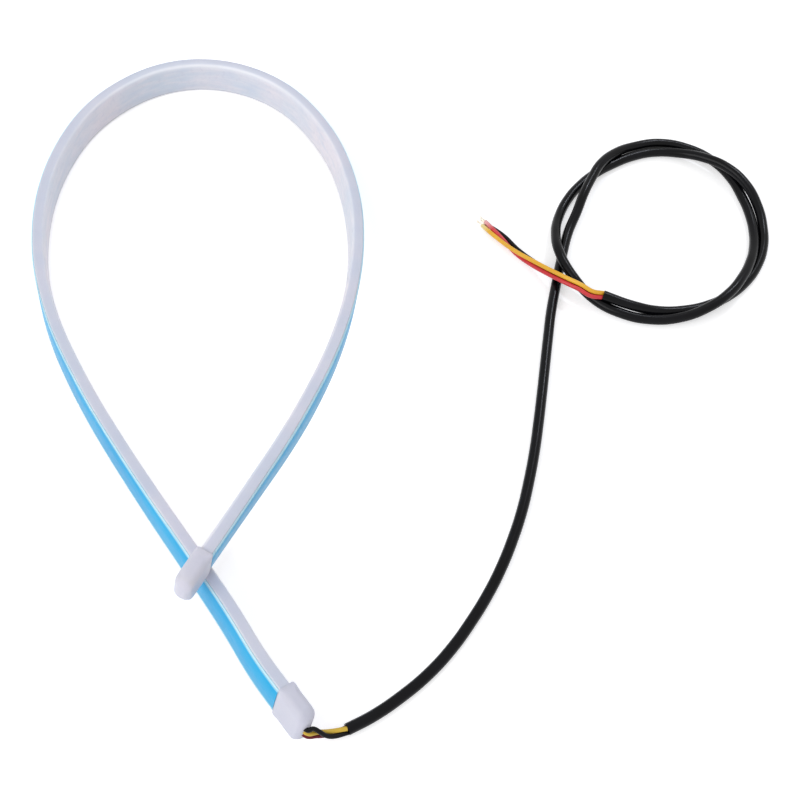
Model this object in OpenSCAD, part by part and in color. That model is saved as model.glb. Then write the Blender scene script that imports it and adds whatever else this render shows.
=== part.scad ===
// Flexible LED strip light for a motorcycle tail, bent into a loop, with its cable loosely coiled beside it.
// Origin: on the ground, under the middle of the strip. The strip stands on its narrow edge.

/* [Strip] */
// Length of the silicone strip from end to end
strip_l = 606; // [480:2:760]
// Width of the strip, which stands upright
strip_w = 14; // [13:0.5:18]
// Thickness of the silicone, without the tape
strip_t = 4; // [3.8:0.1:5]
// How far the light side bulges in the middle
light_crown = 0.3; // [0.1:0.1:0.6]
// Radius of the two edges on the light side
light_edge_r = 1.2; // [0.6:0.1:1.6]
// Radius of the two edges on the tape side
tape_edge_r = 0.4; // [0.2:0.1:0.7]

/* [Channel inside] */
// Silicone between the channel and the tape
back_wall = 0.8; // [0.6:0.1:0.8]
// Silicone between the channel and the light side
front_wall = 1; // [0.8:0.1:1]
// Silicone above and below the channel
side_wall = 1.7; // [1.2:0.1:2.2]

/* [Circuit] */
// Thickness of the flexible circuit board
board_t = 0.25; // [0.15:0.05:0.35]
// Distance from one LED to the next
led_pitch = 5; // [4.5:0.5:8]
// Length of an LED along the strip
led_l = 3.5; // [2:0.1:4]
// Width of an LED across the strip
led_w = 2.8; // [1.6:0.1:3.5]
// Height of an LED above the board
led_h = 0.7; // [0.5:0.1:0.9]
// LEDs in series behind each resistor
leds_per_resistor = 3; // [2:1:6]
// Length of a chip resistor
resistor_l = 3.2; // [1.6:0.1:3.2]
// Width of a chip resistor
resistor_w = 1.6; // [0.8:0.1:1.6]
// Height of a chip resistor
resistor_h = 0.55; // [0.4:0.05:0.7]
// Distance from the middle of the board to the row of resistors
resistor_offset = 3.4; // [3.3:0.1:3.6]

/* [Tape] */
// Width of the adhesive tape
tape_w = 12.8; // [10:0.2:13]
// Thickness of the adhesive tape
tape_t = 0.4; // [0.2:0.1:0.8]
// Width of the blue release film
film_w = 10.8; // [9:0.2:12.4]
// Thickness of the blue release film
film_t = 0.1; // [0.05:0.05:0.2]

/* [End caps] */
// Wall of the two end caps
cap_wall = 0.9; // [0.4:0.1:1.2]
// How far the closed cap reaches over the strip
far_cap_grip = 11; // [8:0.5:14]
// How far the cable cap reaches over the strip
cable_cap_grip = 12.5; // [8:0.5:14]
// Solid end of the closed cap
far_cap_end = 2.2; // [1.5:0.1:3]
// Solid end of the cable cap, which the leads pass through
cable_cap_end = 2.4; // [1.5:0.1:3]
// Radius of the caps' long edges
cap_edge_r = 1.8; // [0.8:0.1:2]
// Radius of the closed cap's corners, seen on its wide sides
far_cap_corner_r = 3.8; // [1:0.1:4]
// Radius of the cable cap's corners, seen on its wide sides
cable_cap_corner_r = 2.4; // [1:0.1:4]
// Length of the plug of sealant in each end of the channel
sealant_l = 5; // [3:0.5:6]

/* [Leads and cable] */
// Diameter of the black cable jacket
cable_d = 3.5; // [3.2:0.1:3.5]
// Diameter of each coloured wire
wire_d = 1.5; // [1:0.05:1.5]
// Distance between neighbouring leads where they leave the cap
lead_pitch = 1.8; // [1.7:0.05:2]
// Distance from the lower edge of the circuit board up to the lowest solder joint
lead_inset = 1.2; // [0.1:0.1:3]
// Diameter of the bare strands at the wires' ends
bare_d = 0.9; // [0.6:0.05:1]
// Length of the bare strands
bare_l = 3; // [2:0.5:6]
// Diameter of a solder joint
solder_d = 1.7; // [1.4:0.05:1.7]
// Height of a solder joint above the board
solder_h = 1; // [0.8:0.1:1.2]

/* [Clearances] */
// Gap between the layers of the strip
layer_gap = 0.02; // [0.01:0.01:0.05]
// Gap on each side of the circuit board
board_gap = 0.3; // [0.1:0.05:0.5]
// Gap between the sealant and what it seals
sealant_gap = 0.03; // [0.01:0.01:0.05]
// Gap between the strip and its caps
cap_gap = 0.1; // [0.05:0.01:0.2]
// Gap round each lead where it leaves the cable cap
lead_gap = 0.05; // [0.02:0.01:0.1]
// Gap between the closed cap and the strip below it
rest_gap = 0.1; // [0.05:0.01:0.3]
// Gap between the ends of the circuit board and the sealant
board_end_gap = 0.3; // [0.1:0.1:1]

/* [Hidden] */

// Where the strip starts, at its cable end, and the way it leaves
strip_start = [57.9, -134.2];
start_heading = 131.5;

// How the strip has turned, in degrees, at each share of its length: the stretches between are arcs
loop_turn = [[0, 0], [0.025, 0], [0.05, -6.7], [0.08, -3.1], [0.13, -2.2], [0.2, -4.7], [0.26, -10.4], [0.32, -23],
    [0.38, -39.8], [0.44, -60], [0.5, -93.9], [0.56, -141], [0.62, -179.5], [0.68, -201], [0.74, -215.2],
    [0.8, -227.7], [0.86, -238], [0.92, -245.7], [0.97, -246.7], [1, -246.7]];

// How the strip leans, in degrees outward from upright, at each share of its length
loop_lean = [[0, -13.6], [0.025, -13.6], [0.08, -12.2], [0.16, -9.5], [0.24, -8], [0.32, -4], [0.45, -1.4], [0.55, 0],
    [0.65, 5.3], [0.72, 8.3], [0.8, 6.2], [0.88, 4.6], [0.95, 9.5], [0.97, 10.5], [1, 10.5]];

// Shares of the length between which the strip rises to cross over itself
rise_from = 0.6;
rise_to = 0.965;

// Share of the length in which the strip comes down from the cable cap to the ground
settle_from = 0.025;
settle_to = 0.1;

// Route of the cable up to the coil, from the leads, with its height
cable_run = [[71.5, -133.5, 2.6], [79, -128.6, 1.9], [87.5, -121.7, 1.75], [95.5, -113.8, 1.75],
    [102.5, -104.8, 1.75], [108.2, -95.5, 1.75], [113.2, -86, 1.75], [117.5, -76, 1.75], [121, -65.8, 1.75],
    [124, -55, 1.75], [126.3, -43.5, 1.75], [128.2, -31.5, 1.75], [129.6, -19.5, 1.75], [130.8, -7.5, 1.75],
    [131.9, 4.5, 1.75], [133, 16.5, 1.75], [134.2, 28.5, 1.75], [136, 40.5, 1.75]];

// The loose coil: its middle, the angle at which the cable comes in, and its radius at every 30 degrees gone round
coil_middle = [177.5, 72.8];
coil_start = 208;
coil_r = [44, 35, 34.5, 40, 45.5, 44, 38, 36, 36, 40, 44, 46, 45, 41, 38, 36.5, 39, 40.5, 41, 40, 39.5, 38, 39.5,
    43.5, 48.5];
// Where the strand hops over another: the angle gone round and half the width of the hop
hops = [[75, 40], [258, 46], [360, 34], [522, 44]];
hop_h = 3.8;
// Where the coil's points start and end, and the angle between them
coil_from = 6;
coil_to = 690;
coil_step = 14.25;
// The end of the jacket lifts a little under its wires
end_lift = 3;
end_lift_from = 640;

// Routes of the leads past the cap, before the jacket: red, yellow, black
lead_routes = [
    [[62.6, -136.4, 3.8], [66.5, -135.3, 2.3]],
    [[62.8, -135.4, 5.2], [66.5, -134.6, 3.9]],
    [[60.7, -137.1, 8.3], [62.5, -135.3, 7.1], [64.2, -133.3, 5.6], [66.5, -133.1, 2.8]]];

// Route of the bundle of wires past the end of the jacket
tail_run = [[148.6, 35.3, 6.2], [144.5, 37, 7.3], [140.5, 39, 7.4], [136.5, 41.8, 6.6], [132, 45.8, 5],
    [127, 50.5, 3.2], [121, 56, 2.2], [114.6, 62.9, 1.8], [108.4, 68.9, 1.8]];
// The angle that the bundle has twisted at each point
tail_twist = [10, 15, 20, 30, 45, 70, 105, 150, 180];

cord_sides = 8;
eps = 0.5;

// Named values that follow from the sizes above
rings = ceil(strip_l / led_pitch);
ring_l = strip_l / rings;
back_y = strip_t / 2;
channel_back = strip_t / 2 - back_wall;
channel_front = -strip_t / 2 + front_wall;
channel_w = strip_w - 2 * side_wall;
board_w = channel_w - 2 * board_gap;
board_back = channel_back - layer_gap;
board_front = board_back - board_t;
board_from = sealant_l + board_end_gap;
board_to = strip_l - sealant_l - board_end_gap;
tape_from_y = back_y + layer_gap;
film_from_y = tape_from_y + tape_t + layer_gap;
tape_from = cable_cap_grip + layer_gap;
tape_to = strip_l - far_cap_grip - layer_gap;
wire_r = wire_d / 2;
lead_y = board_front - layer_gap - wire_r;
solder_x = board_from + solder_d / 2 + eps;
cap_half_w = strip_w / 2 + cap_gap + cap_wall;
cap_back = strip_t / 2 + cap_gap + cap_wall;
cap_front = -strip_t / 2 - light_crown - cap_gap - cap_wall;
cap_t = cap_back - cap_front;

function smooth(t) = t <= 0 ? 0 : t >= 1 ? 1 : t * t * (3 - 2 * t);
function unit(v) = v / norm(v);
function mix(a, b, t) = a + (b - a) * t;

// How high the middle of a section stands when it leans and its lowest edge touches the ground
function stand(half_w, half_t, edge_r, lean) = (half_w - edge_r) * cos(lean)
    + (half_t - edge_r) * abs(sin(lean)) + edge_r;

// Heights of the strip's middle: on the ground, at the cable cap, and where the closed cap lies on the strip
function lean_at(share) = lookup(share, loop_lean);
function ground_z(share) = stand(strip_w / 2, strip_t / 2 + light_crown, tape_edge_r, lean_at(share));
cable_cap_z = stand(cap_half_w, -cap_front, cap_edge_r, lean_at(0));
far_cap_z = 2 * ground_z(settle_from) + rest_gap + stand(cap_half_w, -cap_front, cap_edge_r, lean_at(1));
function middle_z(share) = ground_z(share)
    + (cable_cap_z - ground_z(0)) * (1 - smooth((share - settle_from) / (settle_to - settle_from)))
    + (far_cap_z - ground_z(1)) * smooth((share - rise_from) / (rise_to - rise_from));

// The spine of the strip, ring by ring, with the directions along, outward and upward
function heading(i) = start_heading + lookup(i / rings, loop_turn);
function slope(i) = asin((middle_z(min(i + 1, rings) / rings) - middle_z(max(i - 1, 0) / rings)) / (2 * ring_l));
function step_on(i) = let(h = (heading(i) + heading(i + 1)) / 2) ring_l * cos(slope(i)) * [cos(h), sin(h)];
spine = [for (i = 0, p = strip_start; i <= rings; p = p + step_on(i), i = i + 1)
    [p[0], p[1], middle_z(i / rings)]];
ahead = [for (i = [0 : rings]) [cos(heading(i)) * cos(slope(i)), sin(heading(i)) * cos(slope(i)), sin(slope(i))]];
level = [for (i = [0 : rings]) [-sin(heading(i)), cos(heading(i)), 0]];
above = [for (i = [0 : rings]) cross(ahead[i], level[i])];
outward = [for (i = [0 : rings]) let(a = lean_at(i / rings)) cos(a) * level[i] - sin(a) * above[i]];
upward = [for (i = [0 : rings]) let(a = lean_at(i / rings)) cos(a) * above[i] + sin(a) * level[i]];

// A value between two rings, at a distance along the strip
function along(list, s) = let(k = min(floor(s / ring_l), rings - 1)) mix(list[k], list[k + 1], s / ring_l - k);

// The distances at which a layer from one distance to another has its sections
function stops(from, to) = [from,
    for (k = [ceil((from + eps) / ring_l) : floor((to - eps) / ring_l)]) k * ring_l, to];

// An outline of points [outward, upward], placed across the strip at a distance along it
function section(outline, s) = [for (q = outline)
    along(spine, s) + q[0] * along(outward, s) + q[1] * along(upward, s)];

// Triangles between two neighbouring sections of n points, which start at points a and b.
// Every face is split from the lower edge to the upper one, so that neighbouring layers lie flat on each other.
function wall(a, b, n, out) = [for (j = [0 : n - 1])
    let(k = (j + 1) % n, falls = j < n / 2, d = falls ? [b + j, a + k] : [b + k, a + j],
        pair = falls ? [[a + j, d[0], d[1]], [d[0], b + k, d[1]]] : [[d[1], b + j, d[0]], [d[1], d[0], a + k]])
    each (out ? pair : turned(pair))];

function turned(faces) = [for (f = faces) [f[2], f[1], f[0]]];
function upto(n, from) = [for (j = [0 : n - 1]) from + j];
function backward(list) = [for (j = [len(list) - 1 : -1 : 0]) list[j]];

// A closed layer that follows the strip
module layer(outline, from, to) {
    s = stops(from, to);
    n = len(outline);
    last = (len(s) - 1) * n;
    polyhedron(
        points = [for (d = s) each section(outline, d)],
        faces = [upto(n, 0), backward(upto(n, last)),
            for (i = [0 : len(s) - 2]) each wall(i * n, (i + 1) * n, n, true)]);
}

function rectangle(y0, y1, half_w) = [[y1, half_w], [y0, half_w], [y0, -half_w], [y1, -half_w]];
function arc(middle, r, from, to, n) = [for (j = [0 : n - 1]) let(a = mix(from, to, j / (n - 1)))
    middle + r * [cos(a), sin(a)]];

// The strip's outline in four corners: the tape side is flat, the light side bulges
tape_corner_n = 2;
light_corner_n = 4;
silicone_corners = [
    arc([back_y - tape_edge_r, strip_w / 2 - tape_edge_r], tape_edge_r, 0, 90, tape_corner_n),
    [each arc([-back_y + light_edge_r, strip_w / 2 - light_edge_r], light_edge_r, 90, 180, light_corner_n),
        [-back_y - light_crown, 0]],
    arc([-back_y + light_edge_r, -strip_w / 2 + light_edge_r], light_edge_r, 180, 270, light_corner_n),
    arc([back_y - tape_edge_r, -strip_w / 2 + tape_edge_r], tape_edge_r, 270, 360, tape_corner_n)];
silicone_outline = [for (c = silicone_corners) each c];
channel_outline = rectangle(channel_front, channel_back, channel_w / 2);
outline_n = len(silicone_outline);
section_n = outline_n + 4;
corner_first = [for (k = 0, f = 0; k < 4; f = f + len(silicone_corners[k]), k = k + 1) f];

// The face of silicone round the channel at the section that starts at point a
function end_face(a) = [for (k = [0 : 3])
    let(f = corner_first[k], n = len(silicone_corners[k]), inner = a + outline_n + k,
        next_inner = a + outline_n + (k + 1) % 4, next = (f + n) % outline_n)
    each [for (j = [0 : n - 2]) [a + f + j, a + f + j + 1, inner],
        [a + f + n - 1, a + next, next_inner],
        [a + f + n - 1, next_inner, inner]]];

module silicone_tube() {
    s = stops(0, strip_l);
    last = (len(s) - 1) * section_n;
    color([0.86, 0.86, 0.91])
        polyhedron(
            points = [for (d = s) each concat(section(silicone_outline, d), section(channel_outline, d))],
            faces = [each end_face(0), each turned(end_face(last)),
                for (i = [0 : len(s) - 2]) let(a = i * section_n, b = a + section_n)
                    each concat(wall(a, b, outline_n, true),
                        wall(a + outline_n, b + outline_n, 4, false))]);
}

module circuit_board() {
    color([0.93, 0.93, 0.88]) layer(rectangle(board_front, board_back, board_w / 2), board_from, board_to);
}

module adhesive_tape() {
    color([0.82, 0.9, 0.95]) layer(rectangle(tape_from_y, tape_from_y + tape_t, tape_w / 2), tape_from, tape_to);
}

module release_film() {
    color([0.31, 0.72, 0.95]) layer(rectangle(film_from_y, film_from_y + film_t, film_w / 2), tape_from, tape_to);
}

// Places a piece at the middle of one pitch of the strip: x along it, y outward, z upward
module at_pitch(i) {
    x = unit(spine[i + 1] - spine[i]);
    z = unit(cross(x, outward[i] + outward[i + 1]));
    y = cross(z, x);
    p = (spine[i] + spine[i + 1]) / 2;
    multmatrix([[x[0], y[0], z[0], p[0]], [x[1], y[1], z[1], p[1]], [x[2], y[2], z[2], p[2]]]) children();
}

// Places a piece at one end of the strip, where it is straight: x runs towards the far end
module at_ring(i) {
    x = ahead[i];
    y = outward[i];
    z = upward[i];
    p = spine[i];
    multmatrix([[x[0], y[0], z[0], p[0]], [x[1], y[1], z[1], p[1]], [x[2], y[2], z[2], p[2]]]) children();
}

// A chip that stands on the light side of the board
module chip(l, w, h, offset) {
    translate([-l / 2, board_front - layer_gap - h, offset - w / 2]) cube([l, h, w]);
}

first_led = ceil((solder_x + solder_d) / ring_l) + 1;
last_led = floor(board_to / ring_l) - 1;

module leds(start) {
    for (i = [first_led + start : 2 : last_led]) at_pitch(i) chip(min(led_l, ring_l - board_end_gap), led_w, led_h, 0);
}

module running_leds() {
    color([0.95, 0.93, 0.7]) leds(0);
}

module signal_leds() {
    color([0.95, 0.7, 0.3]) leds(1);
}

module resistors() {
    color([0.12, 0.12, 0.13])
        for (i = [first_led : leds_per_resistor : last_led])
            at_pitch(i) chip(resistor_l, resistor_w, resistor_h, resistor_offset);
}

// Upward places of the three leads: red lowest, then yellow and black
function lead_z(k) = -board_w / 2 + lead_inset + solder_d / 2 + k * lead_pitch;

module solder_joints() {
    color([0.75, 0.76, 0.78])
        for (k = [0 : 2])
            at_ring(0) difference() {
                translate([solder_x, board_front - layer_gap, lead_z(k)])
                    rotate([90, 0, 0]) cylinder(h = solder_h, d = solder_d, $fn = 32);
                translate([solder_x - solder_d, board_front - layer_gap - 2 * solder_h, lead_z(k) - solder_d])
                    cube([solder_d * 0.75, 3 * solder_h, 2 * solder_d]);
            }
}
// The flat of a solder joint, where its lead ends
lead_end_x = solder_x - solder_d * 0.25 - layer_gap;

module rounded_rect(x0, x1, y0, y1, r) {
    translate([x0 + r, y0]) square([x1 - x0 - 2 * r, y1 - y0]);
    translate([x0, y0 + r]) square([x1 - x0, y1 - y0 - 2 * r]);
    for (x = [x0 + r, x1 - r], y = [y0 + r, y1 - r]) translate([x, y]) circle(r = r, $fn = 48);
}

// A soft cap from x0 to x1, rounded on all edges, which holds the strip between p0 and p1
module cap(x0, x1, p0, p1, corner_r) {
    difference() {
        intersection() {
            translate([x0, 0, 0]) rotate([90, 0, 90]) linear_extrude(x1 - x0)
                rounded_rect(cap_front, cap_back, -cap_half_w, cap_half_w, cap_edge_r);
            translate([0, cap_back, 0]) rotate([90, 0, 0]) linear_extrude(cap_t)
                rounded_rect(x0, x1, -cap_half_w, cap_half_w, corner_r);
            translate([0, 0, -cap_half_w]) linear_extrude(2 * cap_half_w)
                rounded_rect(x0, x1, cap_front, cap_back, cap_edge_r);
        }
        translate([p0, cap_front + cap_wall, -cap_half_w + cap_wall])
            cube([p1 - p0, cap_t - 2 * cap_wall, 2 * (cap_half_w - cap_wall)]);
    }
}

module far_end_cap() {
    color([0.87, 0.87, 0.92])
        at_ring(rings) cap(-far_cap_grip, far_cap_end + cap_gap, -far_cap_grip - eps, cap_gap, far_cap_corner_r);
}

module cable_end_cap() {
    color([0.87, 0.87, 0.92])
        at_ring(0) difference() {
            cap(-cable_cap_end - cap_gap, cable_cap_grip, -cap_gap, cable_cap_grip + eps, cable_cap_corner_r);
            lead_holes(-cable_cap_end - cap_gap - eps, 0, lead_gap);
        }
}

// Round holes for the three leads, from x0 to x1
module lead_holes(x0, x1, gap) {
    for (k = [0 : 2])
        translate([x0, lead_y, lead_z(k)]) rotate([0, 90, 0]) cylinder(h = x1 - x0, r = wire_r + gap, $fn = 32);
}

module sealant_block(x0) {
    translate([x0, channel_front + sealant_gap, -channel_w / 2 + sealant_gap])
        cube([sealant_l, channel_back - channel_front - 2 * sealant_gap, channel_w - 2 * sealant_gap]);
}

module far_end_sealant() {
    color([0.9, 0.9, 0.88]) at_ring(rings) sealant_block(-sealant_l);
}

module cable_end_sealant() {
    color([0.9, 0.9, 0.88])
        at_ring(0) difference() {
            sealant_block(0);
            lead_holes(-eps, sealant_l + eps, sealant_gap);
        }
}

// A round cord of width d along a route of points; its ends face the first and last direction
module cord(route, d, first_way, last_way) {
    n = len(route);
    ways = [for (i = [0 : n - 1]) i == 0 ? unit(first_way) : i == n - 1 ? unit(last_way)
        : unit(unit(route[i + 1] - route[i]) + unit(route[i] - route[i - 1]))];
    sides = [for (w = ways) unit(cross([0, 0, 1], w))];
    tops = [for (i = [0 : n - 1]) cross(ways[i], sides[i])];
    c = cord_sides;
    polyhedron(
        points = [for (i = [0 : n - 1]) each [for (j = [0 : c - 1])
            route[i] + d / 2 * (cos(360 * j / c) * sides[i] + sin(360 * j / c) * tops[i])]],
        faces = [upto(c, 0), backward(upto(c, (n - 1) * c)),
            for (i = [0 : n - 2]) each wall(i * c, (i + 1) * c, c, true)]);
}

// The coil, point by point: its radius runs smoothly through the given ones
function radius_at(t) = let(k = floor(t / 30), f = t / 30 - k, a = coil_r[max(k - 1, 0)], b = coil_r[k],
    c = coil_r[k + 1], d = coil_r[min(k + 2, len(coil_r) - 1)])
    b + f / 2 * (c - a + f * (2 * a - 5 * b + 4 * c - d + f * (3 * (b - c) + d - a)));
function hop(t, h) = abs(t - h[0]) < h[1] ? hop_h * pow(cos(90 * (t - h[0]) / h[1]), 2) : 0;
function coil_z(t) = cable_d / 2 + max([for (h = hops) hop(t, h)])
    + end_lift * smooth((t - end_lift_from) / (coil_to - end_lift_from));
function coil_point(t) = let(a = coil_start - t, r = radius_at(t))
    [coil_middle[0] + r * cos(a), coil_middle[1] + r * sin(a), coil_z(t)];
cable_route = concat(cable_run, [for (t = [coil_from : coil_step : coil_to]) coil_point(t)]);
cable_n = len(cable_route);
cable_in = cable_route[1] - cable_route[0];
cable_out = cable_route[cable_n - 1] - cable_route[cable_n - 2];

module cable_jacket() {
    color([0.08, 0.08, 0.09]) cord(cable_route, cable_d, cable_in, cable_out);
}

// Three wires lie round the middle of the jacket: the place of wire k at an angle across a direction
bundle_r = wire_d / sqrt(3) + 2 * lead_gap;
function beside(p, way, k, twist) = let(w = unit(way), s = unit(cross([0, 0, 1], w)), u = cross(w, s),
    a = 120 * k + twist) p + bundle_r * (cos(a) * s + sin(a) * u);

function cap_side(x, k) = spine[0] + x * ahead[0] + lead_y * outward[0] + lead_z(k) * upward[0];
lead_twist = -30;
function lead_route(k) = concat(
    [cap_side(lead_end_x, k), cap_side(-cable_cap_end - cap_gap - eps, k)],
    lead_routes[k],
    [beside(cable_route[0] - layer_gap * unit(cable_in), cable_in, 2 - k, lead_twist)]);

module lead(k, shade) {
    color(shade) cord(lead_route(k), wire_d, -ahead[0], cable_in);
}

module lead_red() {
    lead(0, [0.5, 0.05, 0.1]);
}

module lead_yellow() {
    lead(1, [0.89, 0.72, 0.2]);
}

module lead_black() {
    lead(2, [0.08, 0.08, 0.09]);
}

tail_n = len(tail_run);
tail_start = cable_route[cable_n - 1];
tail_way = tail_run[tail_n - 1] - tail_run[tail_n - 2];
function tail_route(k) = concat(
    [beside(tail_start + layer_gap * unit(cable_out), cable_out, k, 0)],
    [for (i = [0 : tail_n - 1]) beside(tail_run[i],
        tail_run[min(i + 1, tail_n - 1)] - (i == 0 ? tail_start : tail_run[i - 1]), k, tail_twist[i])]);

module tail(k, shade) {
    color(shade) cord(tail_route(k), wire_d, cable_out, tail_way);
}

module tail_red() {
    tail(0, [0.82, 0.16, 0.2]);
}

module tail_yellow() {
    tail(1, [0.91, 0.76, 0.25]);
}

module tail_black() {
    tail(2, [0.08, 0.08, 0.09]);
}

module bare_strands() {
    color([0.85, 0.78, 0.6])
        for (k = [0 : 2]) {
            tip = tail_route(k)[tail_n] + layer_gap * unit(tail_way);
            cord([tip, tip + bare_l * unit(tail_way)], bare_d, tail_way, tail_way);
        }
}

silicone_tube();
circuit_board();
running_leds();
signal_leds();
resistors();
solder_joints();
adhesive_tape();
release_film();
far_end_cap();
far_end_sealant();
cable_end_cap();
cable_end_sealant();
lead_red();
lead_yellow();
lead_black();
cable_jacket();
tail_red();
tail_yellow();
tail_black();
bare_strands();
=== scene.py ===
"""Looks of the motorcycle LED strip light: milky sleeve, blue film, caps, wires and coiled cable."""
import math

import bpy
from mathutils import Matrix, Vector


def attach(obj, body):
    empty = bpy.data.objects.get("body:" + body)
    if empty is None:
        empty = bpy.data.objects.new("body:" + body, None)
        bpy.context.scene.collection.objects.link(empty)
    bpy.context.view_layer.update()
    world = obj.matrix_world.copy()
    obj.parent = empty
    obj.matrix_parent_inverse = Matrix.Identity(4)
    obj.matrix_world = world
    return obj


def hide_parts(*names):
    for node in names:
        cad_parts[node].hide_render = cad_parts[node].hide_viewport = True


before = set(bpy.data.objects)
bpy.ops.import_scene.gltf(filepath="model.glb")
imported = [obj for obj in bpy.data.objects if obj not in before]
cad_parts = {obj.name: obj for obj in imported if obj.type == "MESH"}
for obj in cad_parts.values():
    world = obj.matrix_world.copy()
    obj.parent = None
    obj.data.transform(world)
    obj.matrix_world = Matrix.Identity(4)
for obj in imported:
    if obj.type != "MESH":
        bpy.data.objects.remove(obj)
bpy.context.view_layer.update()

MM = 0.001

# Camera

ELEVATION = 58.0
ROLL = 4.0
FOCUS_PX = 1249.7
TARGET = Vector((80.5, -13.3, 0.0)) * MM
DISTANCE = 443.8 * MM


def make_camera():
    data = bpy.data.cameras.new("camera")
    data.sensor_width = 36.0
    data.lens = FOCUS_PX / 800 * data.sensor_width
    data.clip_start = 0.01
    data.clip_end = 20.0
    cam = bpy.data.objects.new("camera", data)
    bpy.context.scene.collection.objects.link(cam)
    e = math.radians(ELEVATION)
    back = Vector((0, -math.cos(e), math.sin(e)))
    cam.location = TARGET + back * DISTANCE
    cam.rotation_mode = "QUATERNION"
    turn = Matrix.Rotation(math.radians(ROLL), 3, "Z")
    cam.rotation_quaternion = ((-back).to_track_quat("-Z", "Y").to_matrix() @ turn).to_quaternion()
    bpy.context.scene.camera = cam


make_camera()

# Cords in mm. The coil, leads and tails follow the photo and lie up to 3.5 mm beside the source's

CABLE_D = 3.5
WIRE_D = 1.5
# The photo's cable and tails look a little thicker than the source's
CABLE_LOOK_D = 3.8
TAIL_LOOK_D = 1.65
BARE_D = 0.9
BARE_L = 3.0
LAYER_GAP = 0.02
LEAD_GAP = 0.05
# The cable's way from the leads to the coil
CABLE_RUN = [(71.5, -133.5, 2.6), (79, -128.6, 1.9), (87.5, -121.7, 1.75), (95.5, -113.8, 1.75),
             (102.5, -104.8, 1.75), (108.2, -95.5, 1.75), (113.2, -86, 1.75), (117.5, -76, 1.75),
             (121, -65.8, 1.75), (124, -55, 1.75), (126.3, -43.5, 1.75), (128.2, -31.5, 1.75),
             (129.6, -19.5, 1.75), (130.8, -7.5, 1.75), (131.9, 4.5, 1.75), (133, 16.5, 1.75),
             (134.2, 28.5, 1.75), (136, 40.5, 1.75)]
COIL_MIDDLE = (177.5, 72.8)
COIL_START = 208
# The coil's radius at each step of its two turns, in degrees
COIL_R_STEP = 30
COIL_R = [43.0, 34.0, 33.4, 39.2, 45.1, 43.8, 38.1, 36.2, 36.8, 40.9, 44.4, 46.1, 45.0,
          40.2, 36.8, 36.6, 40.2, 40.8, 41.2, 40.0, 39.1, 39.2, 40.4, 44.2, 49.2]
# Where the coil hops over itself, in degrees: the middle of each hop and half its width
HOPS = [(60, 48), (75, 40), (256, 54), (360, 34), (522, 44)]
HOP_H = 4.0
COIL_FROM, COIL_TO, COIL_STEP = 6, 691.2, 14.275
END_LIFT, END_LIFT_FROM = 3.2, 655
# Each lead's points between the cap and the cable
LEAD_ROUTES = [[(62.6, -136.4, 3.8), (64.5, -135.7, 2.4), (66.5, -134.9, 1.6)],
               [(62.9, -135.7, 5.3), (66.5, -134.8, 3.9)],
               [(61.6, -135.6, 7.9), (63.4, -136.0, 6.75), (65.3, -136.5, 5.2), (67.4, -136.2, 3.7)]]
LEAD_TWIST = -30
# The middle of the bundle of tails
TAIL_RUN = [(148.6, 35.3, 6.2), (144.5, 37, 7.3), (140.5, 39, 7.4), (136.5, 41.8, 6.6), (132, 45.8, 5),
            (127, 50.5, 3.2), (121, 56, 2.2), (114.6, 62.9, 1.8), (108.4, 68.9, 1.8)]
# Sideways and upward place of the red, yellow and black tail in the bundle at each point of its run
TAIL_PLACES = [((0.95, -0.17), (-0.33, 0.91), (-0.62, -0.74)), ((0.95, -0.17), (-0.33, 0.91), (-0.62, -0.74)),
               ((0.93, -0.25), (-0.25, 0.93), (-0.68, -0.68)), ((0.91, -0.33), (-0.17, 0.95), (-0.74, -0.62)),
               ((0.84, -0.48), (0, 0.97), (-0.84, -0.48)), ((0.74, -0.62), (0.17, 0.95), (-0.91, -0.33)),
               ((0.3, -0.84), (0.75, 0.75), (-0.97, 0)), ((-0.1, 0.1), (1.5, 0.5), (-1.65, -0.5)),
               ((-0.3, 1.0), (1.05, -0.1), (-0.75, -0.6))]

# The strip and its caps in mm, as in the part's source

STRIP_L = 606.0
RINGS = 122
STRIP_W = 14.0
STRIP_T = 4.0
CROWN = 0.3
LIGHT_EDGE_R = 1.2
TAPE_EDGE_R = 0.4
BACK_WALL, FRONT_WALL, SIDE_WALL = 0.8, 1.0, 1.7
TAPE_W, TAPE_T = 12.8, 0.4
FILM_W, FILM_T = 10.8, 0.1
CAP_WALL, CAP_GAP = 0.9, 0.1
FAR_GRIP = 11.0
FAR_END, CABLE_END = 2.2, 2.4
CAP_EDGE_R = 1.8
FAR_CORNER_R = 3.8
# Softer edges, a lip at the mouth and a shorter cable cap, as the photo shows them
CAP_SOFT_R = 2.4
CABLE_SOFT_CORNER_R = 3.12
END_ROUNDING = 1.15
POCKET_R = 0.75
MOUTH_L, MOUTH_DROP, MOUTH_R = 3.6, 0.8, 0.45
CABLE_LOOK_GRIP = 10.2
SEALANT_L, BOARD_GAP, BOARD_T, BOARD_END_GAP = 5.0, 0.3, 0.25, 0.3
SOLDER_D = 1.7
LEAD_PITCH, LEAD_INSET = 1.8, 1.2
REST_GAP = 0.1
START = (57.9, -134.2)
START_HEADING = 131.5
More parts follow.
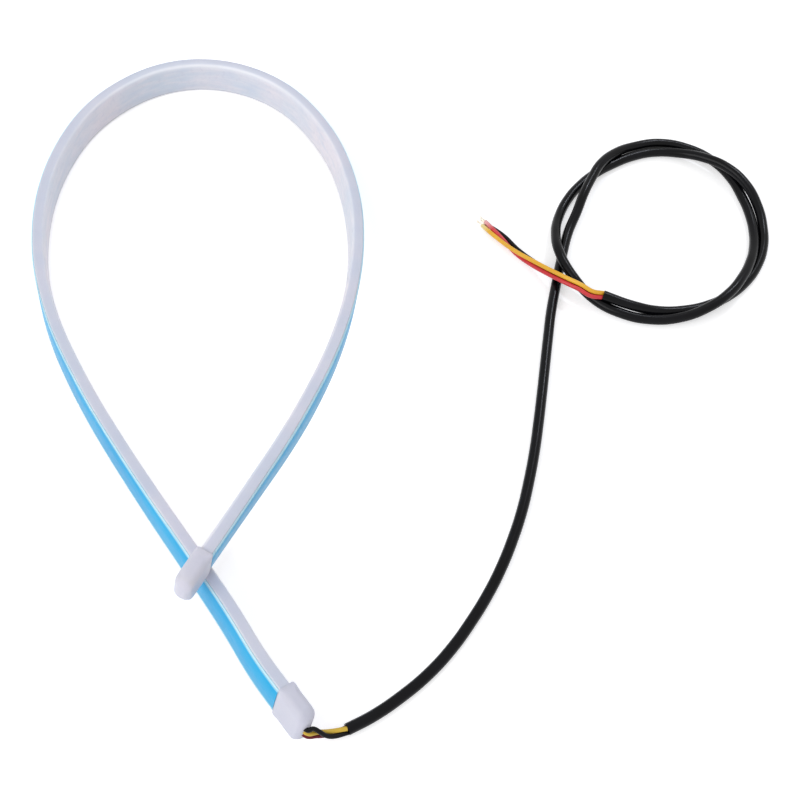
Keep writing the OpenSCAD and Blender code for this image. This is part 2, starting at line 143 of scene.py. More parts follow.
# Turn of the heading and lean of the strip, in degrees, against the share of its length
TURN = [(0, 0), (0.025, 0), (0.05, -6.7), (0.08, -3.1), (0.13, -2.2), (0.2, -4.7), (0.26, -10.4), (0.32, -23),
        (0.38, -39.8), (0.44, -60), (0.5, -93.9), (0.56, -141), (0.62, -179.5), (0.68, -201), (0.74, -215.2),
        (0.8, -227.7), (0.86, -238), (0.92, -245.7), (0.97, -246.7), (1, -246.7)]
LEAN = [(0, -13.6), (0.025, -13.6), (0.08, -12.2), (0.16, -9.5), (0.24, -8), (0.32, -4), (0.45, -1.4),
        (0.55, 0), (0.65, 5.3), (0.72, 8.3), (0.8, 6.2), (0.88, 4.6), (0.95, 9.5), (0.97, 10.5), (1, 10.5)]
# Where the strip climbs over its other end, and where it sinks from the cable cap's height to the ground
RISE = (0.6, 0.965)
SETTLE = (0.025, 0.1)


def sind(a):
    return math.sin(math.radians(a))


def cosd(a):
    return math.cos(math.radians(a))


def lookup(x, table):
    if x <= table[0][0]:
        return table[0][1]
    for (a, u), (b, v) in zip(table, table[1:]):
        if x <= b:
            return u + (v - u) * (x - a) / (b - a)
    return table[-1][1]


def smooth(t):
    t = min(max(t, 0.0), 1.0)
    return t * t * (3 - 2 * t)


def mix(a, b, t):
    return a + (b - a) * t


# The strip's spine and directions

CHANNEL_BACK = STRIP_T / 2 - BACK_WALL
CHANNEL_FRONT = -STRIP_T / 2 + FRONT_WALL
CHANNEL_W = STRIP_W - 2 * SIDE_WALL
BOARD_FRONT = CHANNEL_BACK - LAYER_GAP - BOARD_T
TAPE_Y = STRIP_T / 2 + LAYER_GAP
FILM_Y = TAPE_Y + TAPE_T + LAYER_GAP
CAP_HALF_W = STRIP_W / 2 + CAP_GAP + CAP_WALL
CAP_BACK = STRIP_T / 2 + CAP_GAP + CAP_WALL
CAP_FRONT = -STRIP_T / 2 - CROWN - CAP_GAP - CAP_WALL


def stand(half_w, half_t, r, lean):
    return (half_w - r) * cosd(lean) + (half_t - r) * abs(sind(lean)) + r


def ground_z(u):
    return stand(STRIP_W / 2, STRIP_T / 2 + CROWN, TAPE_EDGE_R, lookup(u, LEAN))


CABLE_CAP_Z = stand(CAP_HALF_W, -CAP_FRONT, CAP_EDGE_R, lookup(0, LEAN))
FAR_CAP_Z = 2 * ground_z(SETTLE[0]) + REST_GAP + stand(CAP_HALF_W, -CAP_FRONT, CAP_EDGE_R, lookup(1, LEAN))


def middle_z(u):
    down = (CABLE_CAP_Z - ground_z(0)) * (1 - smooth((u - SETTLE[0]) / (SETTLE[1] - SETTLE[0])))
    up = (FAR_CAP_Z - ground_z(1)) * smooth((u - RISE[0]) / (RISE[1] - RISE[0]))
    return ground_z(u) + down + up


RING_L = STRIP_L / RINGS


def heading(i):
    return START_HEADING + lookup(i / RINGS, TURN)


def slope(i):
    lo, hi = max(i - 1, 0), min(i + 1, RINGS)
    return math.degrees(math.asin((middle_z(hi / RINGS) - middle_z(lo / RINGS)) / (2 * RING_L)))


def ring_frames():
    """Middle, direction along, outward and upward at each ring, as the source makes them."""
    made = []
    x, y = START
    for i in range(RINGS + 1):
        h, sl, lean = heading(i), slope(i), lookup(i / RINGS, LEAN)
        ahead = Vector((cosd(h) * cosd(sl), sind(h) * cosd(sl), sind(sl)))
        level = Vector((-sind(h), cosd(h), 0))
        above = ahead.cross(level)
        outward = level * cosd(lean) - above * sind(lean)
        upward = above * cosd(lean) + level * sind(lean)
        made.append((Vector((x, y, middle_z(i / RINGS))), ahead, outward, upward))
        if i < RINGS:
            m = (h + heading(i + 1)) / 2
            x += RING_L * cosd(sl) * cosd(m)
            y += RING_L * cosd(sl) * sind(m)
    return made


RING = ring_frames()


def curve_through(p, f):
    """Catmull-Rom between the second and third of four values."""
    a, b, c, d = p
    return b + f / 2 * (c - a + f * (2 * a - 5 * b + 4 * c - d + f * (3 * (b - c) + d - a)))


def station(s):
    """Middle, outward and upward at a distance along the strip, smooth between the rings."""
    k = min(max(int(s // RING_L), 0), RINGS - 1)
    f = s / RING_L - k
    near = [RING[min(max(j, 0), RINGS)] for j in (k - 1, k, k + 1, k + 2)]
    if 0 < k < RINGS - 2 and 0 <= f <= 1:
        p, out, up = (curve_through([n[c] for n in near], f) for c in (0, 2, 3))
    else:
        p, out, up = (mix(near[1][c], near[2][c], f) for c in (0, 2, 3))
    return p, out.normalized(), up.normalized()


# Cords


def radius_at(t):
    k = int(t // COIL_R_STEP)
    near = [COIL_R[min(max(j, 0), len(COIL_R) - 1)] for j in (k - 1, k, k + 1, k + 2)]
    return curve_through(near, t / COIL_R_STEP - k)


def coil_point(t):
    hops = [HOP_H * cosd(90 * (t - c) / w) ** 2 for c, w in HOPS if abs(t - c) < w]
    z = CABLE_D / 2 + max(hops + [0]) + END_LIFT * smooth((t - END_LIFT_FROM) / (COIL_TO - END_LIFT_FROM))
    a, r = COIL_START - t, radius_at(t)
    return Vector((COIL_MIDDLE[0] + r * cosd(a), COIL_MIDDLE[1] + r * sind(a), z))


CABLE_ROUTE = [Vector(p) for p in CABLE_RUN]
CABLE_ROUTE += [coil_point(COIL_FROM + COIL_STEP * j)
                for j in range(int(round((COIL_TO - COIL_FROM) / COIL_STEP)) + 1)]
CABLE_IN = (CABLE_ROUTE[1] - CABLE_ROUTE[0]).normalized()
CABLE_OUT = (CABLE_ROUTE[-1] - CABLE_ROUTE[-2]).normalized()
BUNDLE_R = WIRE_D / math.sqrt(3) + 2 * LEAD_GAP


def beside(p, way, k, twist):
    w = Vector(way).normalized()
    s = Vector((0, 0, 1)).cross(w).normalized()
    a = 120 * k + twist
    return Vector(p) + BUNDLE_R * (cosd(a) * s + sind(a) * w.cross(s))


def lead_route(k):
    p, ahead, out, up = RING[0]
    lead_y = BOARD_FRONT - LAYER_GAP - WIRE_D / 2
    lead_z = -CHANNEL_W / 2 + BOARD_GAP + LEAD_INSET + SOLDER_D / 2 + k * LEAD_PITCH
    solder_x = SEALANT_L + BOARD_END_GAP + SOLDER_D / 2 + 0.5
    side = [p + ahead * x + out * lead_y + up * lead_z
            for x in (solder_x - SOLDER_D / 4 - LAYER_GAP, 0, -CABLE_END - CAP_GAP - 0.5)]
    last = beside(CABLE_ROUTE[0] - LAYER_GAP * CABLE_IN, CABLE_IN, k, LEAD_TWIST)
    return side + [Vector(q) for q in LEAD_ROUTES[k]] + [last]


def tail_route(k):
    points = [beside(CABLE_ROUTE[-1] + LAYER_GAP * CABLE_OUT, CABLE_OUT, k, 0)]
    for i, p in enumerate(TAIL_RUN):
        before = CABLE_ROUTE[-1] if i == 0 else Vector(TAIL_RUN[i - 1])
        after = Vector(TAIL_RUN[min(i + 1, len(TAIL_RUN) - 1)])
        way = (after - before).normalized()
        side = Vector((0, 0, 1)).cross(way).normalized()
        across, up = (TAIL_LOOK_D / WIRE_D * c for c in TAIL_PLACES[i][k])
        points.append(Vector(p) + side * across + way.cross(side) * up)
    return points


TAIL_WAY = (Vector(TAIL_RUN[-1]) - Vector(TAIL_RUN[-2])).normalized()


def cord_curve(name, points, diameter, nodes, material, rings=8):
    data = bpy.data.curves.new(name, "CURVE")
    data.dimensions = "3D"
    data.resolution_u = 8
    data.bevel_depth = diameter / 2 * MM
    data.bevel_resolution = rings
    data.use_fill_caps = True
    line = data.splines.new("BEZIER")
    line.bezier_points.add(len(points) - 1)
    for b, p in zip(line.bezier_points, points):
        b.co = p * MM
        b.handle_left_type = b.handle_right_type = "AUTO"
    obj = bpy.data.objects.new(name, data)
    bpy.context.scene.collection.objects.link(obj)
    data.materials.append(material)
    return dress(obj, nodes)


def dress(obj, nodes):
    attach(obj, "root")
    if nodes:
        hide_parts(*nodes)
    return obj


# Materials


class Nodes:
    """Small helper that builds a material's nodes."""

    def __init__(self, name):
        self.material = bpy.data.materials.new(name)
        self.material.use_nodes = True
        self.tree = self.material.node_tree
        self.shader = self.tree.nodes["Principled BSDF"]

    def add(self, kind, **inputs):
        node = self.tree.nodes.new(kind)
        for key, value in inputs.items():
            node.inputs[key.replace("_", " ")].default_value = value
        return node

    def link(self, a, b):
        self.tree.links.new(a, b)

    def coords(self):
        return self.add("ShaderNodeTexCoord").outputs["Object"]

    def noise(self, scale, detail=3.0, vector=None, stretch=None):
        vector = vector or self.coords()
        if stretch:
            m = self.add("ShaderNodeMapping")
            m.inputs["Scale"].default_value = stretch
            self.link(vector, m.inputs["Vector"])
            vector = m.outputs["Vector"]
        n = self.add("ShaderNodeTexNoise", Scale=scale, Detail=detail)
        self.link(vector, n.inputs["Vector"])
        return n.outputs["Fac"]

    def attribute(self, name):
        n = self.tree.nodes.new("ShaderNodeAttribute")
        n.attribute_name = name
        return n.outputs["Fac"]

    def math(self, kind, a, b=None):
        n = self.tree.nodes.new("ShaderNodeMath")
        n.operation = kind
        for socket, value in zip(n.inputs, (a, b)):
            if value is None:
                continue
            if isinstance(value, (int, float)):
                socket.default_value = value
            else:
                self.link(value, socket)
        return n.outputs[0]

    def ramp(self, fac, stops):
        n = self.tree.nodes.new("ShaderNodeValToRGB")
        r = n.color_ramp
        while len(r.elements) < len(stops):
            r.elements.new(0.5)
        for e, (at, colour) in zip(r.elements, stops):
            e.position = at
            e.color = (*colour, 1)
        self.link(fac, n.inputs["Fac"])
        return n.outputs["Color"]

    def range(self, fac, lo, hi, from_lo=0.0, from_hi=1.0):
        n = self.tree.nodes.new("ShaderNodeMapRange")
        for key, v in (("From Min", from_lo), ("From Max", from_hi), ("To Min", lo), ("To Max", hi)):
            n.inputs[key].default_value = v
        self.link(fac, n.inputs["Value"])
        return n.outputs["Result"]

    def blend(self, fac, a, b, kind="MIX"):
        n = self.tree.nodes.new("ShaderNodeMix")
        n.data_type = "RGBA"
        n.blend_type = kind
        for socket, value in ((n.inputs[0], fac), (n.inputs[6], a), (n.inputs[7], b)):
            if isinstance(value, tuple):
                socket.default_value = (*value, 1)
            elif isinstance(value, (int, float)):
                socket.default_value = value
            else:
                self.link(value, socket)
        return n.outputs[2]

    def bump(self, height, strength, distance, below=None):
        n = self.add("ShaderNodeBump", Strength=strength, Distance=distance)
        self.link(height, n.inputs["Height"])
        if below:
            self.link(below, n.inputs["Normal"])
        return n.outputs["Normal"]

    def set(self, **values):
        for key, value in values.items():
            socket = self.shader.inputs[key.replace("_", " ")]
            if isinstance(value, (int, float)):
                socket.default_value = value
            elif isinstance(value, tuple):
                socket.default_value = (*value, 1) if len(socket.default_value) == 4 else value
            else:
                self.link(value, socket)
        return self


def rgb(r, g, b):
    """A screen colour as the shader takes it."""
    def one(c):
        c /= 255
        return c / 12.92 if c <= 0.04045 else ((c + 0.055) / 1.055) ** 2.4
    return (one(r), one(g), one(b))


def silicone(name, dark, light, streaks_and_shade=True):
    """Milky silicone: cloudy, faintly streaked along its length, with a painted highlight along a round edge;
    where streaks are asked for, also painted shade on its narrow top side and a painted shadow along its
    foot.
    """
    n = Nodes(name)
    cloud = n.noise(34, 4)
    fleck = n.noise(620, 3)
    colour = n.ramp(cloud, [(0.36, dark), (0.64, light)])
    # With streaks asked for, painted shade on the top side and a painted shadow along the foot come too
    if streaks_and_shade:
        place = n.add("ShaderNodeCombineXYZ")
        n.link(n.math("MULTIPLY", n.attribute("along"), 90.0), place.inputs["X"])
        n.link(n.math("MULTIPLY", n.attribute("across"), 3.2), place.inputs["Y"])
        streak = n.noise(1.0, 4, place.outputs[0])
        colour = n.blend(n.range(streak, 0.0, 0.5, 0.5, 0.72), colour, rgb(204, 213, 230))
        colour = n.blend(n.range(streak, 0.5, 0.0, 0.3, 0.5), colour, rgb(234, 230, 238))
        # Painted shade: the narrow top side is painted darker than the round edge beside it
        painted_top_shade = n.range(n.attribute("across"), 0.0, 0.6, 0.965, 0.995)
        colour = n.blend(painted_top_shade, colour, rgb(193, 198, 216))
        # Painted shadow: a dark line along the bottom edge, where the strip meets the floor
        painted_foot_shadow = n.range(n.attribute("across"), 0.8, 0.0, -0.9, -0.8)
        colour = n.blend(painted_foot_shadow, colour, rgb(138, 133, 144))
    colour = n.blend(n.range(fleck, 0.0, 0.35, 0.52, 0.75), colour, rgb(203, 204, 221))
    # Painted highlight: the silicone is painted near-white along the round edge on the light side
    colour = n.blend(n.math("MULTIPLY", n.attribute("painted_highlight"), 0.75), colour, rgb(243, 245, 252))
    grain = n.noise(5200, 3)
    wave = n.noise(160, 2)
    normal = n.bump(grain, 0.16, 0.00004)
    normal = n.bump(wave, 0.10, 0.0002, normal)
    n.set(Base_Color=colour, Roughness=n.range(cloud, 0.40, 0.52), Normal=normal, IOR=1.41,
          Subsurface_Weight=0.4, Subsurface_Radius=(1.0, 1.0, 1.1), Subsurface_Scale=0.0018)
    return n.material


def film():
    n = Nodes("film")
    across = n.math("ABSOLUTE", n.attribute("across"))
    cloud = n.noise(45, 4)
    colour = n.ramp(cloud, [(0.3, rgb(0, 160, 216)), (0.7, rgb(12, 172, 226))])
    # Painted highlight: the film pales to light cyan along both edges
    edge = n.range(across, 0.0, 0.75, 0.88, 0.98)
    colour = n.blend(edge, colour, rgb(170, 226, 248))
    crease = n.noise(70, 3, stretch=(1, 1, 3))
    scuff = n.noise(700, 4)
    normal = n.bump(crease, 0.35, 0.0006)
    normal = n.bump(scuff, 0.08, 0.00005, normal)
    n.set(Base_Color=colour, Roughness=n.range(scuff, 0.24, 0.42), Normal=normal, IOR=1.5,
          Specular_IOR_Level=0.18)
    return n.material


def tape():
    n = Nodes("tape")
    cells = n.noise(2600, 3)
    cloud = n.noise(90, 3)
    colour = n.ramp(cloud, [(0.3, rgb(186, 228, 245)), (0.7, rgb(204, 238, 250))])
    n.set(Base_Color=colour, Roughness=n.range(cells, 0.35, 0.6), Normal=n.bump(cells, 0.3, 0.00005),
          IOR=1.45, Subsurface_Weight=0.2, Subsurface_Radius=(1.0, 1.0, 1.0), Subsurface_Scale=0.0006)
    return n.material


def jacket(name, base, light, rough=(0.3, 0.42), sheen=0.28, pale=None, tip=None):
    """Smooth plastic skin, which pales towards the wire's cut end where a tip is given."""
    n = Nodes(name)
    grain = n.noise(3800, 3)
    cloud = n.noise(120, 3)
    colour = n.ramp(cloud, [(0.3, base), (0.75, light)])
    if tip:
        away = n.tree.nodes.new("ShaderNodeVectorMath")
        away.operation = "DISTANCE"
        away.inputs[1].default_value = tip
        n.link(n.coords(), away.inputs[0])
        colour = n.blend(n.range(away.outputs["Value"], 0.75, 0.0, 0.001, 0.0045), colour, pale)
    normal = n.bump(grain, 0.22, 0.00005)
    normal = n.bump(n.noise(260, 2), 0.12, 0.0002, normal)
    n.set(Base_Color=colour, Roughness=n.range(cloud, *rough), Normal=normal, IOR=1.5,
          Specular_IOR_Level=sheen)
    return n.material


def strands():
    n = Nodes("strands")
    cloud = n.noise(1500, 3)
    colour = n.ramp(cloud, [(0.3, rgb(226, 214, 192)), (0.7, rgb(244, 238, 228))])
    n.set(Base_Color=colour, Metallic=0.8, Roughness=n.range(cloud, 0.25, 0.4),
          Normal=n.bump(cloud, 0.2, 0.00004))
    return n.material


def simple(name, dark, light, scale, rough=(0.4, 0.55), metallic=0.0, bump=0.1):
    n = Nodes(name)
    cloud = n.noise(scale, 4)
    fine = n.noise(scale * 9, 3)
    n.set(Base_Color=n.ramp(cloud, [(0.3, dark), (0.7, light)]), Roughness=n.range(fine, *rough),
          Metallic=metallic, Normal=n.bump(fine, bump, 0.00004))
    return n.material


# Swept meshes


def new_mesh(name, verts, faces, nodes, material, attributes=None, flat_over=40):
    mesh = bpy.data.meshes.new(name)
    mesh.from_pydata([tuple(Vector(v) * MM) for v in verts], [], faces)
    # The outlines run the other way round the strip, so the faces are turned to look outwards
    mesh.flip_normals()
    mesh.materials.append(material)
    for key, values in (attributes or {}).items():
        layer = mesh.attributes.new(key, "FLOAT", "POINT")
        layer.data.foreach_set("value", values)
    mesh.validate()
    mesh.update()
    obj = bpy.data.objects.new(name, mesh)
    bpy.context.scene.collection.objects.link(obj)
    mesh.shade_smooth()
    mesh.set_sharp_from_angle(angle=math.radians(flat_over))
    return dress(obj, nodes)


def sweep(name, loops, stops, nodes, material, flat_over=40, painted_highlight_at=lambda u, y, z: 0.0):
    """Closed solid along the strip. At distance s, loops(s) gives its outline and any inner outline."""
    verts, along, across, painted_highlight = [], [], [], []
    for s in stops:
        p, out, up = station(s)
        for loop in loops(s):
            for y, z in loop:
                verts.append(p + out * y + up * z)
                along.append(s * MM)
                across.append(z / (max(abs(q[1]) for q in loop)))
                painted_highlight.append(painted_highlight_at(s / STRIP_L, y, z))
    sizes = [len(loop) for loop in loops(stops[0])]
    total = sum(sizes)
    faces = []
    for i in range(len(stops) - 1):
        a, b, f = i * total, (i + 1) * total, 0
        for which, n in enumerate(sizes):
            for j in range(n):
                k = (j + 1) % n
                quad = (a + f + j, b + f + j, b + f + k, a + f + k)
                faces.append(quad if which == 0 else quad[::-1])
            f += n
    last = (len(stops) - 1) * total
    n = sizes[0]
    if len(sizes) == 1:
        faces.append(tuple(range(n)))
        faces.append(tuple(last + j for j in range(n - 1, -1, -1)))
    else:
        for base, flip in ((0, False), (last, True)):
            for j in range(n):
                k = (j + 1) % n
                quad = (base + j, base + k, base + n + k, base + n + j)
                faces.append(quad[::-1] if flip else quad)
    # The last attribute holds the strength of the painted highlight at each point
    attributes = {"along": along, "across": across, "painted_highlight": painted_highlight}
    return new_mesh(name, verts, faces, nodes, material, attributes, flat_over)


def arc(cy, cz, r, a0, a1, n):
    angles = [mix(a0, a1, j / (n - 1)) for j in range(n)]
    return [(cy + r * cosd(a), cz + r * sind(a)) for a in angles]


def even(a, b, step):
    n = max(1, int(round((b - a) / step)))
    return [mix(a, b, j / n) for j in range(n + 1)]


def rounded(y0, y1, half, r, n=5):
    """A rectangle with round corners, from y0 to y1 and to +-half."""
    return (arc(y1 - r, half - r, r, 0, 90, n) + arc(y0 + r, half - r, r, 90, 180, n)
            + arc(y0 + r, -half + r, r, 180, 270, n) + arc(y1 - r, -half + r, r, 270, 360, n))


def sleeve_outline():
    w, b = STRIP_W / 2, STRIP_T / 2
    r, t = LIGHT_EDGE_R, TAPE_EDGE_R
    points = arc(b - t, w - t, t, 0, 90, 5) + arc(-b + r, w - r, r, 90, 172, 8)
    steps = 10
    for j in range(1, steps):
        z = mix(w - r, -w + r, j / steps)
        points.append((-b - CROWN * (1 - (z / (w - r)) ** 2), z))
    points += arc(-b + r, -w + r, r, 188, 270, 8) + arc(b - t, -w + t, t, 270, 360, 5)
    return points


def painted_highlight_on_sleeve(u, y, z):
    """How strong the painted highlight is along the round edge on the light side: most at the round end of
    the loop.
    """
    r = LIGHT_EDGE_R
    cy, cz = -STRIP_T / 2 + r, STRIP_W / 2 - r
    d = math.hypot(y - cy + r * cosd(45), abs(z) - cz - r * sind(45))
    at_round_end = smooth((u - 0.43) / 0.1) * smooth((0.67 - u) / 0.1)
    return smooth(1 - d / 1.5) * mix(0.25, 1.0, at_round_end)


silicone_mat = silicone("silicone", rgb(212, 220, 233), rgb(231, 226, 234))
cap_mat = silicone("cap_silicone", rgb(203, 205, 221), rgb(213, 211, 224), False)


def channel_inside(outline):
    """The channel's outline, with one point for each point of the sleeve's."""
    y_middle = (CHANNEL_FRONT + CHANNEL_BACK) / 2
    y_half = (CHANNEL_BACK - CHANNEL_FRONT) / 2
    z_half = CHANNEL_W / 2
    inner = []
    for y, z in outline:
        y = max(-1.0, min(1.0, y / (STRIP_T / 2))) * y_half + y_middle
        inner.append((y, max(-1.0, min(1.0, z / (STRIP_W / 2))) * z_half))
    return inner


outline = sleeve_outline()
channel = channel_inside(outline)
sweep("sleeve", lambda s: (outline, channel), even(0, STRIP_L, RING_L / 4), ["silicone_tube"],
      silicone_mat, 60, painted_highlight_on_sleeve)

TAPE_ENDS = (CABLE_LOOK_GRIP + LAYER_GAP, STRIP_L - FAR_GRIP - LAYER_GAP)
TAPE_STOPS = even(*TAPE_ENDS, RING_L / 4)
sweep("foam_tape", lambda s: (rounded(TAPE_Y, TAPE_Y + TAPE_T, TAPE_W / 2, 0.12, 3),), TAPE_STOPS,
      ["adhesive_tape"], tape(), 50)
sweep("blue_film", lambda s: (rounded(FILM_Y, FILM_Y + FILM_T, FILM_W / 2, 0.04, 3),), TAPE_STOPS,
      ["release_film"], film(), 50)

# Caps


def cap_loops(x, ends, corner_r, mouth_at_start):
    """Outer outline of a cap at distance x along it: round at its end, with a soft lip at its mouth."""
    x0, x1 = ends
    from_end = x1 - x if mouth_at_start else x - x0
    from_mouth = x - x0 if mouth_at_start else x1 - x

    def inset(d, length, depth):
        return 0.0 if d >= length else depth * (1 - math.sqrt(max(1 - (1 - d / length) ** 2, 0.0)))

    lip = inset(from_mouth, MOUTH_L, MOUTH_DROP)
    side = inset(from_end, corner_r * END_ROUNDING, corner_r) + lip
    face = inset(from_end, CAP_SOFT_R, CAP_SOFT_R) + lip
    half = CAP_HALF_W - side
    y0, y1 = CAP_FRONT + face, CAP_BACK - face
    r = mix(MOUTH_R, CAP_SOFT_R, smooth(from_mouth / MOUTH_L))
    r = min(r, (y1 - y0) / 2 - 0.02, half - 0.02)
    return rounded(y0, y1, half, max(r, 0.05), 11)


def cap_mesh(name, at, ends, corner_r, mouth_at_start, node):
    p, ahead, out, up = at
    x0, x1 = ends
    close = [0.02, 0.08, 0.2, 0.4, 0.7, 1.0, 1.4, 1.9, 2.5, 3.2]
    stops = sorted([x0 + d for d in close] + [x1 - d for d in close] + even(x0 + 3.8, x1 - 3.8, 0.6))
    verts, across = [], []
    for x in stops:
        for y, z in cap_loops(x, ends, corner_r, mouth_at_start):
            verts.append(p + ahead * x + out * y + up * z)
            across.append(z / CAP_HALF_W)
    n = len(cap_loops(stops[0], ends, corner_r, mouth_at_start))
    faces = []
    for i in range(len(stops) - 1):
        a, b = i * n, (i + 1) * n
        faces += [(a + j, b + j, b + (j + 1) % n, a + (j + 1) % n) for j in range(n)]
    # The pocket, from the mouth to the inside of the end wall
    pocket = rounded(CAP_FRONT + CAP_WALL, CAP_BACK - CAP_WALL, CAP_HALF_W - CAP_WALL, POCKET_R, 11)
    mouth = 0 if mouth_at_start else len(stops) - 1
    bottom = x1 - FAR_END if mouth_at_start else x0 + CABLE_END
    first = len(verts)
    for x in (stops[mouth], bottom):
        for y, z in pocket:
            verts.append(p + ahead * x + out * y + up * z)
            across.append(z / CAP_HALF_W)
    m = mouth * n
    for j in range(n):
        k = (j + 1) % n
        lip = (m + j, m + k, first + k, first + j)
        wall = (first + j, first + k, first + n + k, first + n + j)
        faces.append(lip if mouth_at_start else lip[::-1])
        faces.append(wall if mouth_at_start else wall[::-1])
    floor_face = tuple(first + n + j for j in range(n))
    end_face = tuple((len(stops) - 1) * n + j for j in range(n)) if mouth_at_start else tuple(range(n))
    faces.append(floor_face if mouth_at_start else floor_face[::-1])
    faces.append(end_face[::-1] if mouth_at_start else end_face)
    return new_mesh(name, verts, faces, [node], cap_mat, {"across": across}, 75)


cap_mesh("closed_cap", RING[RINGS], (-FAR_GRIP, FAR_END + CAP_GAP), FAR_CORNER_R, True, "far_end_cap")
cap_mesh("cable_cap", RING[0], (-CABLE_END - CAP_GAP, CABLE_LOOK_GRIP), CABLE_SOFT_CORNER_R, False,
         "cable_end_cap")

# Cable, leads and tails

COLOURS = ("red", "yellow", "black")
black = jacket("cable_black", rgb(4, 4, 5), rgb(12, 12, 17), (0.18, 0.28), 0.15)
# Painted shade: the red lead is painted dark maroon, much darker than the same red wire at the tails
lead_skins = {"red": jacket("lead_red", rgb(92, 14, 32), rgb(110, 22, 40), sheen=0.2),
              "yellow": jacket("lead_yellow", rgb(196, 162, 50), rgb(218, 182, 70), sheen=0.3),
              "black": jacket("lead_black", rgb(8, 7, 8), rgb(20, 18, 20), sheen=0.15)}
tail_ends = [tail_route(k)[-1] for k in range(3)]
tail_skins = {
    "red": jacket("tail_red", rgb(196, 36, 48), rgb(216, 58, 62), sheen=0.5, pale=rgb(240, 190, 190),
                  tip=tail_ends[0] * MM),
    "yellow": jacket("tail_yellow", rgb(224, 162, 30), rgb(240, 186, 52), sheen=0.5, pale=rgb(236, 228, 172),
                     tip=tail_ends[1] * MM),
    "black": jacket("tail_black", rgb(8, 7, 8), rgb(20, 18, 20), sheen=0.15)}
strand_mat = strands()

for k, colour in enumerate(COLOURS):
    cord_curve("lead_wire_" + colour, lead_route(k), WIRE_D, ["lead_" + colour],
                            lead_skins[colour], 6)
LOOK_UP = Vector((0, 0, (CABLE_LOOK_D - CABLE_D) / 2))
cable_middle = [p + LOOK_UP for p in CABLE_ROUTE]
cable = cord_curve("cable", cable_middle, CABLE_LOOK_D, ["cable_jacket"], black)


def strand_tips(tips):
    """Seven fine strands, lightly twisted, at the end of each tail."""
    data = bpy.data.curves.new("bare_wire", "CURVE")
    data.dimensions = "3D"
    data.bevel_depth = BARE_D / 6 * MM
    data.bevel_resolution = 3
    data.use_fill_caps = True
    s = Vector((0, 0, 1)).cross(TAIL_WAY).normalized()
    u = TAIL_WAY.cross(s)
    for tip in tips:
        for m in range(7):
            r = 0 if m == 0 else BARE_D / 3
            line = data.splines.new("POLY")
            line.points.add(6)
            for j, q in enumerate(line.points):
                a = 60 * m + 14 * j
                reach = BARE_L * j / 6 * (1 - 0.02 * m)
                p = tip + TAIL_WAY * reach + r * (cosd(a) * s + sind(a) * u)
                q.co = (*(p * MM), 1)
    obj = bpy.data.objects.new("bare_wire", data)
    bpy.context.scene.collection.objects.link(obj)
    data.materials.append(strand_mat)
    return dress(obj, ["bare_strands"])


tips = strand_tips([p + LAYER_GAP * TAIL_WAY for p in tail_ends])
for k, colour in enumerate(COLOURS):
    route = tail_route(k)
    tail = cord_curve("tail_wire_" + colour, route, TAIL_LOOK_D, ["tail_" + colour],
                      tail_skins[colour], 6)

# Inner pieces keep their CAD shape

INNER = {
    "circuit_board": simple("board", rgb(226, 226, 216), rgb(240, 240, 232), 300),
    "running_leds": simple("running_led", rgb(236, 214, 120), rgb(248, 236, 180), 900),
    "signal_leds": simple("signal_led", rgb(232, 160, 60), rgb(244, 190, 96), 900),
    "resistors": simple("resistor", rgb(26, 26, 28), rgb(44, 44, 46), 900),
    "solder_joints": simple("solder", rgb(180, 182, 186), rgb(212, 214, 218), 900, (0.2, 0.35), 0.9),
    "far_end_sealant": simple("sealant_far", rgb(226, 226, 220), rgb(240, 240, 236), 200),
    "cable_end_sealant": simple("sealant_cable", rgb(226, 226, 220), rgb(240, 240, 236), 200),
}
for node, material in INNER.items():
    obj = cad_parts[node]
    obj.data.materials.clear()
    obj.data.materials.append(material)

# Floor, world and lights

FLOOR_GLOW = 0.47
WORLD_LIGHT = 0.62


def background_rays(tree):
    """One for rays that show the background: straight from the camera, mirrored or through clear matter."""
    path = tree.nodes.new("ShaderNodeLightPath")
    found = path.outputs["Is Camera Ray"]
    for kind in ("Is Glossy Ray", "Is Transmission Ray"):
        most = tree.nodes.new("ShaderNodeMath")
        most.operation = "MAXIMUM"
        tree.links.new(found, most.inputs[0])
        tree.links.new(path.outputs[kind], most.inputs[1])
        found = most.outputs[0]
    return found


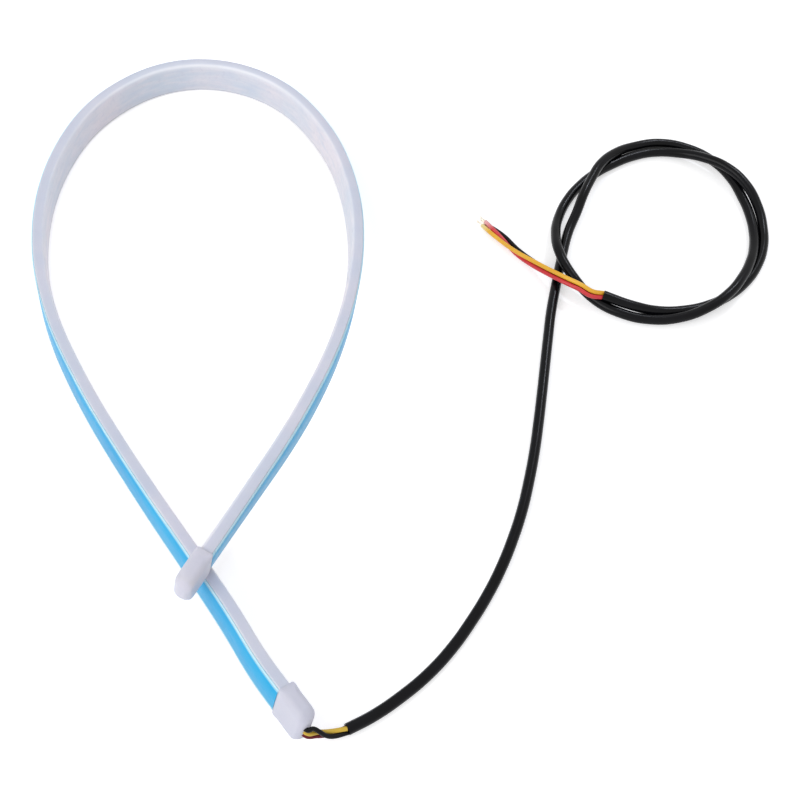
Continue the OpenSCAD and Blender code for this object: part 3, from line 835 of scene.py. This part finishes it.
def make_floor():
    mesh = bpy.data.meshes.new("floor")
    s = 3.0
    mesh.from_pydata([(-s, -s, 0), (s, -s, 0), (s, s, 0), (-s, s, 0)], [], [(0, 1, 2, 3)])
    obj = bpy.data.objects.new("floor", mesh)
    bpy.context.scene.collection.objects.link(obj)
    obj.location = (0.08, 0, -0.0002)
    mat = bpy.data.materials.new("floor")
    mat.use_nodes = True
    t = mat.node_tree
    t.nodes.clear()
    out = t.nodes.new("ShaderNodeOutputMaterial")
    diffuse = t.nodes.new("ShaderNodeBsdfDiffuse")
    diffuse.inputs["Color"].default_value = (0.85, 0.85, 0.86, 1)
    glow = t.nodes.new("ShaderNodeEmission")
    glow.inputs["Color"].default_value = (1, 1, 1, 1)
    seen = t.nodes.new("ShaderNodeMath")
    seen.operation = "MULTIPLY"
    seen.inputs[1].default_value = FLOOR_GLOW
    t.links.new(background_rays(t), seen.inputs[0])
    t.links.new(seen.outputs[0], glow.inputs["Strength"])
    both = t.nodes.new("ShaderNodeAddShader")
    t.links.new(diffuse.outputs[0], both.inputs[0])
    t.links.new(glow.outputs[0], both.inputs[1])
    t.links.new(both.outputs[0], out.inputs["Surface"])
    mesh.materials.append(mat)


def make_world():
    world = bpy.data.worlds.new("studio")
    bpy.context.scene.world = world
    world.use_nodes = True
    t = world.node_tree
    bg = t.nodes["Background"]
    bg.inputs["Color"].default_value = (1, 1, 1, 1)
    level = t.nodes.new("ShaderNodeMapRange")
    level.inputs["To Min"].default_value = WORLD_LIGHT
    level.inputs["To Max"].default_value = 1.0
    t.links.new(background_rays(t), level.inputs["Value"])
    t.links.new(level.outputs["Result"], bg.inputs["Strength"])


def make_light(name, location, size, power, target=(0.05, 0, 0), colour=(1, 1, 1)):
    data = bpy.data.lights.new(name, "AREA")
    data.color = colour
    data.shape = "RECTANGLE"
    data.size, data.size_y = size
    data.energy = power
    obj = bpy.data.objects.new(name, data)
    obj.location = location
    obj.rotation_mode = "QUATERNION"
    obj.rotation_quaternion = (Vector(target) - Vector(location)).to_track_quat("-Z", "Y")
    bpy.context.scene.collection.objects.link(obj)


make_floor()
make_world()
make_light("key", (-0.8, -0.8, 0.9), (1.0, 1.0), 9.0)
make_light("fill", (0.5, -1.2, 0.5), (0.8, 0.8), 0.4)
make_light("streak", (0.45, 0.65, 0.9), (0.22, 0.05), 2.5, (0.17, 0.05, 0), (0.86, 0.9, 1))
bpy.context.scene.view_settings.view_transform = "Standard"
